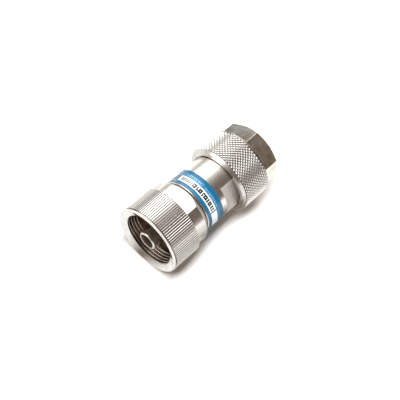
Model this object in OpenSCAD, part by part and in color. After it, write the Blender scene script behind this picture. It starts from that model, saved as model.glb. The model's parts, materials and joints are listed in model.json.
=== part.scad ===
// Coaxial adapter: a test-port socket with a large coupling nut at the top,
// and a plug with a knurled and hexagonal coupling nut at the bottom.
// Millimetres. The axis is Z, the plug's nut stands on z = 0 and -Y is the front.

/* [Main body] */
// Diameter of the body between the two nuts
body_d = 17.5; // [16.5:0.25:18.5]
// Length of body that shows between the two nuts
body_show = 13.1; // [12.5:0.1:20]
// Depth of the body's wrench flats
body_flat_depth = 1.5; // [0.8:0.1:1.6]
// Distance from the label to the wrench flats
body_flat_offset = 1.75; // [1:0.05:4]
// Direction that the first wrench flat of the body faces, in degrees
body_flat_turn = -139; // [-180:1:180]
// Diameter of the necks that carry the coupling nuts
neck_d = 14; // [13:0.25:14.5]
// Chamfer on the body's edges
body_chamfer = 0.25; // [0.1:0.05:0.3]

/* [Label] */
// Width of the label along the body
label_w = 5.75; // [4:0.05:7]
// Thickness of the label's film
label_t = 0.1; // [0.05:0.01:0.2]
// Distance from the body's front shoulder to the label
label_offset = 0.35; // [0.35:0.05:2]

/* [Front coupling nut] */
// Largest diameter of the front nut, over its knurl
front_nut_d = 22; // [21.5:0.25:24]
// Length of the front nut
front_nut_len = 15.7; // [14.5:0.1:17]
// Length of the front nut's smooth part, behind the knurl
front_smooth_len = 5.7; // [4:0.05:5.9]
// Step from the knurl down to the smooth part
front_step = 0.8; // [0.4:0.1:1.2]
// Depth of the wrench flats in the smooth part
front_flat_depth = 1.2; // [0.8:0.1:1.5]
// Length of the cone at the back of the front nut
front_cone_len = 1.65; // [0.5:0.05:2.5]
// Depth of that cone
front_cone_depth = 1.55; // [0.8:0.05:2]
// Direction that the first wrench flat of the front nut faces, in degrees
front_flat_turn = -71.4; // [-180:0.1:180]
// Number of ridges of the straight knurl
front_knurl_count = 100; // [60:1:120]
// Depth of the straight knurl
front_knurl_depth = 0.28; // [0.1:0.02:0.4]
// Length of the smooth rim at the front nut's mouth
front_rim_len = 0.7; // [0.7:0.05:2]
// Width of the groove between the smooth rim and the knurl
front_groove_w = 0.35; // [0.1:0.05:0.5]
// Bevel on the outer edge of the smooth rim
front_rim_bevel = 0.4; // [0.1:0.05:0.4]
// Width of the flat land inside that bevel
front_land = 0.1; // [0.1:0.05:0.8]
// Wall of the front nut, from its knurl to the crests of its thread
front_wall = 2.6; // [2.5:0.05:3.2]
// Length of the cone that leads from the land into the front nut's thread
front_lead_len = 0.85; // [0.4:0.05:1.2]
// Length of the front nut's thread
front_thread_len = 5.3; // [4:0.1:6.5]
// Depth of the front nut's mouth, down to its back wall
front_mouth_depth = 9.7; // [9.3:0.1:9.8]

/* [Front socket] */
// Outer diameter of the front barrel
barrel_d = 5.7; // [5.2:0.05:6.2]
// Distance from the front nut's mouth down to the barrel's end
barrel_recess = 0.1; // [0.05:0.05:1]
// Diameter of the barrel's wide mouth
barrel_mouth_d = 4.66; // [4.4:0.02:4.8]
// Depth of the barrel's wide mouth
barrel_mouth_depth = 1.98; // [1.5:0.02:2.4]
// Diameter of the barrel's foot
barrel_foot_d = 8.4; // [7.6:0.2:10]
// Height of the barrel's foot
barrel_foot_h = 0.9; // [0.6:0.1:1.5]
// Diameter of the barrel's stem, inside the body
barrel_stem_d = 6.8; // [6.4:0.1:7.2]
// Length of the barrel's stem
barrel_stem_len = 5.6; // [4:0.1:7]
// Height of the body's neck inside the front nut's mouth
front_neck_rise = 1.2; // [0.8:0.1:2]

/* [Rear coupling nut] */
// Diameter of the rear nut over its knurl
rear_nut_d = 22; // [21:0.25:24]
// Length of the rear nut
rear_nut_len = 16.1; // [15.5:0.1:18]
// Bevel at the rear nut's front rim
rear_rim_bevel = 0.8; // [0.4:0.1:1.2]
// Width across the flats of the rear nut's hexagon
hex_af = 17.5; // [16.75:0.25:19]
// Step from the knurl down to the hexagon's turned corners
hex_step = 0.85; // [0.3:0.05:1.5]
// Length of the hexagon
hex_len = 6; // [3:0.1:7]
// Bevel on the hexagon's end, measured on its flats
hex_bevel = 0.05; // [0:0.05:0.3]
// Direction that one flat of the hexagon faces, in degrees
hex_turn = -102; // [-180:1:180]
// Depth of the pocket in the rear nut's front rim
rear_pocket_depth = 1.6; // [1.4:0.1:2.2]
// Distance that the body goes into that pocket
body_entry = 1.2; // [0.6:0.1:1.3]
// Diameter of the rear nut's thread at its crests
rear_thread_d = 14.92; // [14.6:0.02:15.2]
// Length of the rear nut's thread
rear_thread_len = 8; // [6:0.1:8.6]
// Depth of the rear nut's mouth, down to its back wall
rear_mouth_depth = 10.4; // [9.8:0.1:10.6]

/* [Rear plug] */
// Distance from the rear nut's mouth up to the sleeve's end
sleeve_recess = 2.6; // [2:0.1:3.5]
// Outer diameter of the rear sleeve
sleeve_d = 8.1; // [7.9:0.05:8.4]
// Diameter of the rear sleeve's foot
sleeve_foot_d = 12.4; // [11:0.2:13]
// Height of the rear sleeve's foot
sleeve_foot_h = 1; // [0.6:0.1:1.5]
// Diameter of the rear sleeve's stem, inside the body
sleeve_stem_d = 10; // [9.4:0.1:10.6]
// Length of the rear sleeve's stem
sleeve_stem_len = 4.8; // [3:0.1:6]
// Height of the body's neck below the rear nut's back wall
rear_neck_drop = 0.4; // [0.2:0.1:1]
// Diameter of the rear pin
pin_d = 1.6; // [1.5:0.02:1.7]
// Length of the rear pin beyond the conductor's end
pin_len = 5; // [4:0.1:5.4]
// Distance from the sleeve's end up to the conductor's end
pin_shoulder = 5.3; // [5.2:0.1:5.6]

/* [Coaxial line] */
// Bore of the wide line
wide_bore_d = 7; // [6.8:0.05:7.2]
// Diameter of the conductor in the wide line
wide_core_d = 3.04; // [2.9:0.02:3.2]
// Bore of the narrow line
narrow_bore_d = 3.5; // [3.4:0.05:3.6]
// Diameter of the conductor in the narrow line
narrow_core_d = 1.52; // [1.45:0.01:1.6]
// Length of the narrow bore inside the body, below the front bead
narrow_bore_len = 5.5; // [4:0.1:7]
// Thickness of the front bead
front_bead_t = 1.5; // [1:0.1:2]
// Diameter of the front bead
front_bead_d = 5; // [4.6:0.1:5.4]
// Thickness of the rear bead
rear_bead_t = 2.2; // [1.5:0.1:3]
// Hole in the front contact that takes a mating pin
contact_hole_d = 0.93; // [0.9:0.01:1]
// Depth of that hole and of the slots beside it
contact_hole_depth = 3.6; // [2.5:0.1:4.5]
// Width of the front contact's slots
contact_slot_w = 0.16; // [0.1:0.02:0.24]
// Length of the front contact
contact_len = 9; // [8:0.1:10]
// Diameter of the studs that join the conductor to its two contacts
stud_d = 0.8; // [0.6:0.05:0.9]
// Length of those studs
stud_len = 2; // [1.5:0.1:2.5]

/* [Retaining rings] */
// Width of each split ring along the axis
ring_w = 0.8; // [0.6:0.05:1]
// Depth of each split ring in the body's neck
ring_in_neck = 0.7; // [0.5:0.05:1]
// Depth of each split ring in the nut
ring_in_nut = 0.65; // [0.5:0.05:0.8]
// Width of the split
ring_split = 1.5; // [1:0.1:3]
// Distance from the nut's back wall to the ring's groove
ring_offset = 1.1; // [0.9:0.1:1.2]

/* [Clearances] */
// Gap between the front nut's back and the body's front shoulder
front_gap = 0.35; // [0.3:0.05:1]
// Radial gap between the body and the pocket in the rear nut's rim
pocket_gap = 0.3; // [0.2:0.05:0.6]
// Radial clearance of the nuts on the necks
run_clear = 0.05; // [0.02:0.01:0.1]
// Clearance round the split rings, radial and axial
ring_clear = 0.1; // [0.05:0.01:0.2]
// Clearance between pieces that are screwed or pressed together
seat_clear = 0.02; // [0.01:0.01:0.04]

/* [Hidden] */
$fn = 96;
// Overshoot of every cut
e = 0.5;

// Heights along the axis, from the bottom up
nut_top_z = rear_nut_len;
body_bottom_z = nut_top_z - body_entry;
front_back_z = nut_top_z + body_show;
body_top_z = front_back_z - front_gap;
total_len = front_back_z + front_nut_len;
front_floor_z = total_len - front_mouth_depth;
front_neck_z = front_floor_z + front_neck_rise;
rear_wall_z = rear_mouth_depth;
rear_neck_z = rear_wall_z - rear_neck_drop;
label_top_z = body_top_z - label_offset;
label_bottom_z = label_top_z - label_w;
barrel_tip_z = total_len - barrel_recess;
barrel_seat_z = barrel_tip_z - barrel_mouth_depth;
barrel_stem_z = front_neck_z - barrel_stem_len;
front_bead_z = barrel_stem_z - front_bead_t;
core_step_z = front_bead_z - narrow_bore_len;
sleeve_stem_z = rear_neck_z + sleeve_stem_len;
rear_bead_top_z = sleeve_stem_z + rear_bead_t;
core_bottom_z = sleeve_recess + pin_shoulder;
core_top_z = barrel_seat_z - contact_len;
front_ring_z = front_floor_z - ring_offset - ring_w;
rear_ring_z = rear_wall_z + ring_offset;
knurl_bottom_z = front_back_z + front_smooth_len;
rim_bottom_z = total_len - front_rim_len;
knurl_top_z = rim_bottom_z - front_groove_w;
// Radii that several pieces share
neck_bore_r = neck_d / 2 + run_clear;
ring_inner_r = neck_d / 2 - ring_in_neck;
ring_outer_r = neck_bore_r + ring_in_nut;
front_smooth_r = front_nut_d / 2 - front_step;
hex_corner_r = rear_nut_d / 2 - hex_step;
// Depth of a thread's relief, the lead-in at the rear mouth, and the bevel on small edges
thread_depth = 0.6;
mouth_bevel = 0.45;
small_bevel = 0.25;

metal = [0.72, 0.70, 0.66];
gold = [0.83, 0.66, 0.32];
plastic = [0.90, 0.88, 0.80];
film = [0.12, 0.46, 0.72];

// A turned solid from its half outline, as [radius, height] points
module turned(points) {
    rotate_extrude() polygon(points);
}

// A tube between two heights
module tube(outer_r, inner_r, low, high) {
    turned([[inner_r, low], [outer_r, low], [outer_r, high], [inner_r, high]]);
}

// A round cut between two heights
module bore(r, low, high) {
    translate([0, 0, low]) cylinder(r = r, h = high - low);
}

// Everything past a flat that faces +X at a distance from the axis
module past_flat(distance, low, high) {
    reach = front_nut_d;
    translate([distance, -reach / 2, low]) cube([reach, reach, high - low]);
}

// The groove of a split ring, cut in a neck or in a nut
module ring_groove(low) {
    tube(ring_outer_r + ring_clear, ring_inner_r - ring_clear, low - ring_clear, low + ring_w + ring_clear);
}

// A split ring
module split_ring(low) {
    difference() {
        tube(ring_outer_r, ring_inner_r, low, low + ring_w);
        translate([ring_inner_r - e, -ring_split / 2, low - e])
            cube([ring_outer_r - ring_inner_r + 2 * e, ring_split, ring_w + 2 * e]);
    }
}

// A drum of straight ridges, with one crest for each step
module straight_knurl(crest_r, depth, count, low, high) {
    step = 360 / count;
    translate([0, 0, low]) linear_extrude(high - low)
        polygon([for (i = [0 : count - 1], half = [0, 1])
            let (r = crest_r - half * depth, a = (i + half / 2) * step) [r * cos(a), r * sin(a)]]);
}

module main_body() {
    color(metal) difference() {
        turned([
            [0, rear_neck_z], [neck_d / 2 - small_bevel, rear_neck_z],
            [neck_d / 2, rear_neck_z + small_bevel], [neck_d / 2, body_bottom_z],
            [body_d / 2 - body_chamfer, body_bottom_z], [body_d / 2, body_bottom_z + body_chamfer],
            [body_d / 2, body_top_z - body_chamfer], [body_d / 2 - body_chamfer, body_top_z],
            [neck_d / 2, body_top_z], [neck_d / 2, front_neck_z - small_bevel],
            [neck_d / 2 - small_bevel, front_neck_z], [0, front_neck_z],
        ]);
        bore(sleeve_stem_d / 2 + seat_clear, rear_neck_z - e, rear_bead_top_z);
        bore(wide_bore_d / 2, rear_neck_z, core_step_z);
        bore(narrow_bore_d / 2, core_step_z - e, front_neck_z);
        bore(front_bead_d / 2 + seat_clear, front_bead_z, front_neck_z);
        bore(barrel_stem_d / 2 + seat_clear, barrel_stem_z, front_neck_z + e);
        ring_groove(front_ring_z);
        ring_groove(rear_ring_z);
        for (side = [0, 180]) rotate([0, 0, body_flat_turn + side])
            past_flat(body_d / 2 - body_flat_depth, body_bottom_z - e, label_bottom_z - body_flat_offset);
    }
}

module label() {
    color(film) tube(body_d / 2 + label_t, body_d / 2, label_bottom_z, label_top_z);
}

module front_barrel() {
    color(metal) difference() {
        turned([
            [narrow_bore_d / 2, barrel_stem_z], [barrel_stem_d / 2, barrel_stem_z],
            [barrel_stem_d / 2, front_neck_z], [barrel_foot_d / 2, front_neck_z],
            [barrel_foot_d / 2, front_neck_z + barrel_foot_h], [barrel_d / 2, front_neck_z + barrel_foot_h],
            [barrel_d / 2, barrel_tip_z - small_bevel], [barrel_d / 2 - small_bevel, barrel_tip_z],
            [narrow_bore_d / 2, barrel_tip_z],
        ]);
        bore(barrel_mouth_d / 2, barrel_seat_z, barrel_tip_z + e);
    }
}

module front_contact() {
    color(gold) difference() {
        bore(narrow_core_d / 2, core_top_z, barrel_seat_z);
        bore(contact_hole_d / 2, barrel_seat_z - contact_hole_depth, barrel_seat_z + e);
        bore(stud_d / 2 + seat_clear, core_top_z - e, core_top_z + stud_len);
        for (turn = [0, 90]) rotate([0, 0, turn])
            translate([-narrow_core_d, -contact_slot_w / 2, barrel_seat_z - contact_hole_depth])
                cube([2 * narrow_core_d, contact_slot_w, contact_hole_depth + e]);
    }
}

module front_bead() {
    color(plastic) tube(front_bead_d / 2, narrow_core_d / 2 + seat_clear, front_bead_z, barrel_stem_z);
}

module centre_conductor() {
    color(gold) difference() {
        turned([
            [0, core_bottom_z], [wide_core_d / 2, core_bottom_z], [wide_core_d / 2, core_step_z],
            [narrow_core_d / 2, core_step_z], [narrow_core_d / 2, core_top_z],
            [stud_d / 2, core_top_z], [stud_d / 2, core_top_z + stud_len], [0, core_top_z + stud_len],
        ]);
        bore(stud_d / 2 + seat_clear, core_bottom_z - e, core_bottom_z + stud_len);
    }
}

module rear_bead() {
    color(plastic) tube(sleeve_stem_d / 2, wide_core_d / 2 + seat_clear, sleeve_stem_z, rear_bead_top_z);
}

module rear_sleeve() {
    color(metal) turned([
        [wide_bore_d / 2, sleeve_recess], [sleeve_d / 2 - small_bevel, sleeve_recess],
        [sleeve_d / 2, sleeve_recess + small_bevel], [sleeve_d / 2, rear_neck_z - sleeve_foot_h],
        [sleeve_foot_d / 2, rear_neck_z - sleeve_foot_h], [sleeve_foot_d / 2, rear_neck_z],
        [sleeve_stem_d / 2, rear_neck_z], [sleeve_stem_d / 2, sleeve_stem_z],
        [wide_bore_d / 2, sleeve_stem_z],
    ]);
}

module rear_pin() {
    tip_z = core_bottom_z - pin_len;
    color(gold) turned([
        [0, tip_z], [pin_d / 4, tip_z], [pin_d / 2, tip_z + pin_d / 2],
        [pin_d / 2, core_bottom_z], [stud_d / 2, core_bottom_z],
        [stud_d / 2, core_bottom_z + stud_len], [0, core_bottom_z + stud_len],
    ]);
}

module front_retaining_ring() {
    color(metal) split_ring(front_ring_z);
}

module rear_retaining_ring() {
    color(metal) split_ring(rear_ring_z);
}

module front_coupling_nut() {
    rim_r = front_nut_d / 2;
    thread_r = rim_r - front_wall;
    mouth_z = total_len;
    lead_r = rim_r - front_rim_bevel - front_land;
    thread_high_z = mouth_z - front_lead_len;
    thread_low_z = thread_high_z - front_thread_len;
    color(metal) difference() {
        union() {
            straight_knurl(rim_r, front_knurl_depth, front_knurl_count, knurl_bottom_z, knurl_top_z);
            difference() {
                turned([
                    [0, front_back_z], [front_smooth_r - front_cone_depth, front_back_z],
                    [front_smooth_r, front_back_z + front_cone_len], [front_smooth_r, rim_bottom_z],
                    [rim_r - small_bevel, rim_bottom_z], [rim_r, rim_bottom_z + small_bevel],
                    [rim_r, mouth_z - front_rim_bevel], [rim_r - front_rim_bevel, mouth_z], [0, mouth_z],
                ]);
                for (side = [0, 180]) rotate([0, 0, front_flat_turn + side])
                    past_flat(front_smooth_r - front_flat_depth, front_back_z - e, knurl_bottom_z + e);
            }
        }
        bore(neck_bore_r, front_back_z - e, mouth_z);
        ring_groove(front_ring_z);
        turned([
            [0, front_floor_z], [thread_r + thread_depth, front_floor_z],
            [thread_r + thread_depth, thread_low_z - thread_depth], [thread_r, thread_low_z],
            [thread_r, thread_high_z], [lead_r, mouth_z],
            [lead_r, mouth_z + e], [0, mouth_z + e],
        ]);
    }
}

module rear_coupling_nut() {
    thread_r = rear_thread_d / 2;
    thread_high_z = mouth_bevel + rear_thread_len;
    nut_r = rear_nut_d / 2;
    face_r = hex_af / 2 - hex_bevel;
    color(metal) difference() {
        union() {
            intersection() {
                rotate([0, 0, hex_turn + 30])
                    cylinder(r = hex_af / 2 / cos(30), h = hex_len + e, $fn = 6);
                turned([
                    [0, 0], [face_r, 0], [hex_corner_r, (hex_corner_r - face_r) * tan(30)],
                    [hex_corner_r, hex_len + e], [0, hex_len + e],
                ]);
            }
            turned([
                [0, hex_len], [nut_r - small_bevel, hex_len], [nut_r, hex_len + small_bevel],
                [nut_r, nut_top_z - rear_rim_bevel], [nut_r - rear_rim_bevel, nut_top_z], [0, nut_top_z],
            ]);
        }
        bore(neck_bore_r, 0, nut_top_z);
        bore(body_d / 2 + pocket_gap, nut_top_z - rear_pocket_depth, nut_top_z + e);
        ring_groove(rear_ring_z);
        turned([
            [0, -e], [thread_r + mouth_bevel, -e], [thread_r + mouth_bevel, 0],
            [thread_r, mouth_bevel], [thread_r, thread_high_z],
            [thread_r + thread_depth, thread_high_z + thread_depth],
            [thread_r + thread_depth, rear_wall_z], [0, rear_wall_z],
        ]);
    }
}

main_body();
label();
front_barrel();
front_contact();
front_bead();
centre_conductor();
rear_bead();
rear_sleeve();
rear_pin();
front_retaining_ring();
rear_retaining_ring();
front_coupling_nut();
rear_coupling_nut();
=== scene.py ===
# %% [markdown]
# # A coaxial adapter
# The adapter joins two kinds of coaxial connector. A labelled round body sits in the middle, with
# a ridged coupling nut on the socket's side and a diamond-knurled nut on the plug's side.
# The solids of every piece are already packed as a frame, in metres, so the first step loads
# them and keeps their overall box. Everything after that dresses the frame and never moves it.

import json
import math

import bmesh
import bpy
from mathutils import Matrix, Vector

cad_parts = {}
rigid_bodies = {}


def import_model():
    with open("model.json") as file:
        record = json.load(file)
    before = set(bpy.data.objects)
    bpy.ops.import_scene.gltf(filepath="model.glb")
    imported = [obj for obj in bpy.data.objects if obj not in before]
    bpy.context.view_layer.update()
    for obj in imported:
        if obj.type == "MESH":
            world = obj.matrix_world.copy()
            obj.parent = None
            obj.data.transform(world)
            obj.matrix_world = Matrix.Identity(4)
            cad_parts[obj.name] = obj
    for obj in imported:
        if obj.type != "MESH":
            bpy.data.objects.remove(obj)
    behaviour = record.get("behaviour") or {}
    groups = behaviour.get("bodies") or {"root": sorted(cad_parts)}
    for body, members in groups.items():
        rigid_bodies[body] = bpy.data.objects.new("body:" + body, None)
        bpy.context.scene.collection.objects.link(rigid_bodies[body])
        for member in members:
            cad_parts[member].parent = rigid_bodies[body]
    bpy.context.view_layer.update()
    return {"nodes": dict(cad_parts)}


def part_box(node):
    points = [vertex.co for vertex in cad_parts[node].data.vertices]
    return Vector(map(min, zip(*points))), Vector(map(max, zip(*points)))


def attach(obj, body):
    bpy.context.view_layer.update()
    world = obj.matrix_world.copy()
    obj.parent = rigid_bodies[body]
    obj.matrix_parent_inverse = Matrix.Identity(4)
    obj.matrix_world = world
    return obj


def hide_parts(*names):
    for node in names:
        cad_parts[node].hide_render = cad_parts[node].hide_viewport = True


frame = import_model()
print("pieces in the frame:", ", ".join(sorted(frame["nodes"])))

# %% [markdown]
# ## Sizes
# The adapter is turned about the Z axis, so a radius and a height say where anything is. Both
# come from the boxes of the CAD nodes, in millimetres, so that the dress follows the frame.
# The few sizes that a box can't give, such as a step inside a nut, are named where they are used.

# %% Heights and radii from the frame
MM = 0.001


def heights(node):
    """The lowest and highest point of a CAD node along the axis."""
    low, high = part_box(node)
    return low.z / MM, high.z / MM


def reach(node):
    """The largest radius of a CAD node."""
    low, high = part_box(node)
    return max(-low.x, -low.y, high.x, high.y) / MM


front_back_z, mouth_z = heights("front_coupling_nut")
rear_end_z, rear_top_z = heights("rear_coupling_nut")
label_low_z, label_high_z = heights("label")
rear_neck_z, front_neck_z = heights("main_body")
barrel_stem_z, barrel_tip_z = heights("front_barrel")
sleeve_end_z, sleeve_stem_z = heights("rear_sleeve")
nut_r = reach("front_coupling_nut")
body_r = reach("main_body")
label_r = reach("label")
print(f"length {mouth_z:.2f} mm, nuts {2 * nut_r:.2f} mm and body {2 * body_r:.2f} mm across")

# %% [markdown]
# ## Helpers for node trees
# Shader trees and geometry trees are built the same way: add a node, set its options, then fill
# each input with a value or a link. One small function does all three, and a few more name the
# nodes that come back again and again, which keeps the trees short enough to read as recipes.

# %% Node helpers


def place(tree, kind, inputs=None, **settings):
    """Adds a node, sets its options, and fills its inputs with values or links."""
    node = tree.nodes.new(kind)
    for key, value in settings.items():
        setattr(node, key, value)
    for key, value in (inputs or {}).items():
        if isinstance(value, bpy.types.NodeSocket):
            tree.links.new(value, node.inputs[key])
        else:
            node.inputs[key].default_value = value
    return node


def maths(tree, operation, *values):
    """The result of one Math node."""
    return place(tree, "ShaderNodeMath", dict(enumerate(values)), operation=operation).outputs[0]


def combine(tree, *values):
    """A vector from three numbers or links."""
    return place(tree, "ShaderNodeCombineXYZ", dict(enumerate(values))).outputs[0]


def blend(tree, factor, at_zero, at_one):
    """A colour between two others."""
    inputs = {"Factor": factor, "A": at_zero, "B": at_one}
    return place(tree, "ShaderNodeMix", inputs, data_type="RGBA").outputs["Result"]


def ramp_mask(tree, value, at_zero, at_one):
    """A number that goes from 0 to 1 while a value goes from one limit to the other."""
    inputs = {"Value": value, "From Min": at_zero, "From Max": at_one}
    return place(tree, "ShaderNodeMapRange", inputs).outputs["Result"]


def reach_along(tree, spot, way):
    """How far a point or a direction reaches along a given way."""
    inputs = {0: spot, 1: way}
    return place(tree, "ShaderNodeVectorMath", inputs, operation="DOT_PRODUCT").outputs["Value"]


def either(tree, factor, at_zero, at_one):
    """A shader between two others, or one of the two."""
    inputs = {0: factor, 1: at_zero.outputs[0], 2: at_one.outputs[0]}
    return place(tree, "ShaderNodeMixShader", inputs)


def object_spot(tree):
    """The shaded point, in the piece's own frame."""
    return place(tree, "ShaderNodeTexCoord").outputs["Object"]


def radius_and_height(tree, spot):
    """A point's distance from the adapter's axis, and its height along it."""
    parts = place(tree, "ShaderNodeSeparateXYZ", {0: spot}).outputs
    squares = [maths(tree, "POWER", parts[axis], 2.0) for axis in ("X", "Y")]
    return maths(tree, "SQRT", maths(tree, "ADD", *squares)), parts["Z"]


def empty_tree(owner):
    """The cleared node tree of a material or a world."""
    owner.use_nodes = True
    owner.node_tree.nodes.clear()
    return owner.node_tree


def new_group(name, kind, inputs, outputs):
    """An empty node group with named sockets, and its input and output nodes."""
    group = bpy.data.node_groups.new(name, kind)
    for label, socket_type in inputs.items():
        group.interface.new_socket(label, in_out="INPUT", socket_type=socket_type)
    for label, socket_type in outputs.items():
        group.interface.new_socket(label, in_out="OUTPUT", socket_type=socket_type)
    return group, group.nodes.new("NodeGroupInput").outputs, group.nodes.new("NodeGroupOutput").inputs


FLOAT = "NodeSocketFloat"
INTEGER = "NodeSocketInt"
MATERIAL = "NodeSocketMaterial"
GEOMETRY = "NodeSocketGeometry"

# %% [markdown]
# ## The turned finish
# A lathe leaves fine rings round the axis. Each ring is at one radius and one height, so a noise
# that reads only those two numbers gives rings on cylinders, cones and end faces alike.
# Several metals use it, so it is a node group with its own values in each of them. A second,
# slow noise makes the gloss a little uneven, as handling does, and says where stains lie.

# %% Group: turning marks
PATCHES_PER_M = 350.0
STAIN_FULL = 0.35
STAIN_GONE = 0.65

marks, marks_in, marks_out = new_group(
    "Turning marks", "ShaderNodeTree",
    {"Rings per mm": FLOAT, "Roughness": FLOAT, "Unevenness": FLOAT},
    {"Height": FLOAT, "Roughness": FLOAT, "Patches": FLOAT},
)
spot = object_spot(marks)
density = maths(marks, "DIVIDE", marks_in["Rings per mm"], MM)
ring_spot = [maths(marks, "MULTIPLY", part, density) for part in radius_and_height(marks, spot)]
rings = place(marks, "ShaderNodeTexNoise", {
    "Vector": combine(marks, *ring_spot, 0.0), "Scale": 1.0, "Detail": 2.0,
}).outputs["Fac"]
patches = place(marks, "ShaderNodeTexNoise", {
    "Vector": spot, "Scale": PATCHES_PER_M, "Detail": 2.0,
}).outputs["Fac"]
mixed = maths(marks, "ADD", *(maths(marks, "MULTIPLY", noise, 0.5) for noise in (rings, patches)))
wander = maths(marks, "MULTIPLY", maths(marks, "SUBTRACT", mixed, 0.5), marks_in["Unevenness"])
marks.links.new(rings, marks_out["Height"])
marks.links.new(ramp_mask(marks, patches, STAIN_FULL, STAIN_GONE), marks_out["Patches"])
marks.links.new(maths(marks, "ADD", marks_in["Roughness"], wander), marks_out["Roughness"])
print("group:", marks.name)

# %% [markdown]
# ## Painted shade in the roots
# Between the ridges of a knurl the colour is painted darker and a little brown, as painted
# shade in the roots. The mask only has to know how far a point is from the axis, so a second
# group turns the radius into a number from 0 in the roots to 1 on the crests.

# %% Group: root to crest
depths, depths_in, depths_out = new_group(
    "Root to crest", "ShaderNodeTree",
    {"Root radius mm": FLOAT, "Crest radius mm": FLOAT},
    {"Mask": FLOAT},
)
point_radius = radius_and_height(depths, object_spot(depths))[0]
radius_mm = maths(depths, "DIVIDE", point_radius, MM)
mask = ramp_mask(depths, radius_mm, depths_in["Root radius mm"], depths_in["Crest radius mm"])
depths.links.new(mask, depths_out["Mask"])
print("group:", depths.name)

# %% [markdown]
# ## The metals
# The nuts and the body are bright steel. A metal in Blender is a Principled shader with Metallic
# at 1: its colour tints the reflections, and its roughness says how sharp they are. A milled or
# blasted face scatters light as well, so its Metallic is lower. Handling leaves faint brown
# stains. The knurled parts have a darker tint mixed in by the root mask, a painted shade in the
# roots, and the steels inside the mouths and the deep gold are painted darker, as painted shade.

# %% Steel and gold
RINGS_PER_MM = 9.0
KNURL_ROUGHNESS = 0.22
STEEL = (0.79, 0.765, 0.735, 1.0)
BRIGHT_STEEL = (0.88, 0.865, 0.845, 1.0)
# Painted shade in the roots of knurls and threads, and a lighter painted root shade for the front ridges
ROOT_SHADE_STEEL = (0.22, 0.19, 0.165, 1.0)
LIGHT_ROOT_SHADE_STEEL = (0.40, 0.37, 0.34, 1.0)
# The mouth's steel is painted dark brown: painted shade inside the mouth and in the groove
MOUTH_SHADE_STEEL = (0.28, 0.215, 0.165, 1.0)
# A browner steel for the thread's crests and the barrel's bore: painted shade inside the mouth
INNER_SHADE_STEEL = (0.66, 0.56, 0.48, 1.0)
MILLED_STEEL = (0.52, 0.49, 0.46, 1.0)
GOLD = (0.83, 0.62, 0.28, 1.0)
# A darker gold for the contact deep in the barrel: painted shade
SHADED_GOLD = (0.30, 0.22, 0.12, 1.0)
# A stain takes more of the blue than of the red, and nothing of the alpha
STAIN_LOSS = (1.0, 1.3, 1.7, 0.0)


def new_material(name):
    """A material with an empty tree, its Principled shader and its output."""
    material = bpy.data.materials.new(name)
    tree = empty_tree(material)
    shader = place(tree, "ShaderNodeBsdfPrincipled")
    place(tree, "ShaderNodeOutputMaterial", {"Surface": shader.outputs[0]})
    return material, tree, shader.inputs


def metal(name, colour, roughness, unevenness=0.1, bump=0.004, metallic=1.0, stain=0.08):
    """A turned metal with fine rings round the axis and faint brown stains."""
    material, tree, shader = new_material(name)
    shader["Metallic"].default_value = metallic
    turned = place(tree, "ShaderNodeGroup", {
        "Rings per mm": RINGS_PER_MM, "Roughness": roughness, "Unevenness": unevenness,
    }, node_tree=marks).outputs
    tree.links.new(turned["Roughness"], shader["Roughness"])
    stained = [part * (1 - stain * loss) for part, loss in zip(colour, STAIN_LOSS)]
    tree.links.new(blend(tree, turned["Patches"], stained, colour), shader["Base Color"])
    lift = place(tree, "ShaderNodeBump", {
        "Height": turned["Height"], "Strength": 1.0, "Distance": bump * MM,
    })
    tree.links.new(lift.outputs["Normal"], shader["Normal"])
    return material


def knurled(name, root_r, crest_r, root=ROOT_SHADE_STEEL, crest=STEEL):
    """The same steel, painted darker towards the roots of a knurl or a thread: painted shade."""
    material = metal(name, crest, KNURL_ROUGHNESS)
    tree = material.node_tree
    deep = place(tree, "ShaderNodeGroup", {
        "Root radius mm": root_r, "Crest radius mm": crest_r,
    }, node_tree=depths)
    shader = next(node for node in tree.nodes if node.type == "BSDF_PRINCIPLED")
    tree.links.new(blend(tree, deep.outputs["Mask"], root, crest), shader.inputs["Base Color"])
    return material


steel = metal("Turned steel", STEEL, 0.2)
mouth_shade_steel = metal("Mouth shade steel", MOUTH_SHADE_STEEL, 0.3)
milled_steel = metal("Milled steel", MILLED_STEEL, 0.45, metallic=0.55)
wrench_steel = metal("Wrench steel", BRIGHT_STEEL, 0.24, stain=0.3)
rim_steel = metal("Rim steel", BRIGHT_STEEL, 0.35, metallic=0.5)
bore_shade_steel = metal("Bore shade steel", INNER_SHADE_STEEL, 0.3)
polished_steel = metal("Polished steel", BRIGHT_STEEL, 0.08, unevenness=0.04, bump=0.001)
gold = metal("Gold plate", GOLD, 0.22)
shaded_gold = metal("Shaded gold", SHADED_GOLD, 0.35)
steels = (steel, mouth_shade_steel, milled_steel, wrench_steel, rim_steel, bore_shade_steel, polished_steel)
print("metals:", ", ".join(finish.name for finish in (*steels, gold, shaded_gold)))

# %% [markdown]
# ## Turning on a lathe
# Most pieces are solids of revolution. A real lathe cuts a half outline; here a function turns the
# same outline, a closed list of radius and height, into a mesh. A corner of real metal is never
# perfectly sharp, and a rounded edge catches a line of light, so each corner is first replaced by
# a small curve. A support point on both sides of it keeps the shading of the long faces flat.

# %% Lathe helper
SEGMENTS = 192
ON_AXIS = 1e-6
SHARP_ANGLE = math.radians(20)
CURVE_STEPS = 5
# The most that a curve takes of the sides beside it, and how far off its support points are
CURVE_SHARE = 0.3
SUPPORT_SHARE = 0.4
# Sizes of the curves at the corners of the nuts, of the smaller pieces and of the pin
NUT_EDGE = 0.09
FINE_EDGE = 0.06
PIN_EDGE = 0.08


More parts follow.
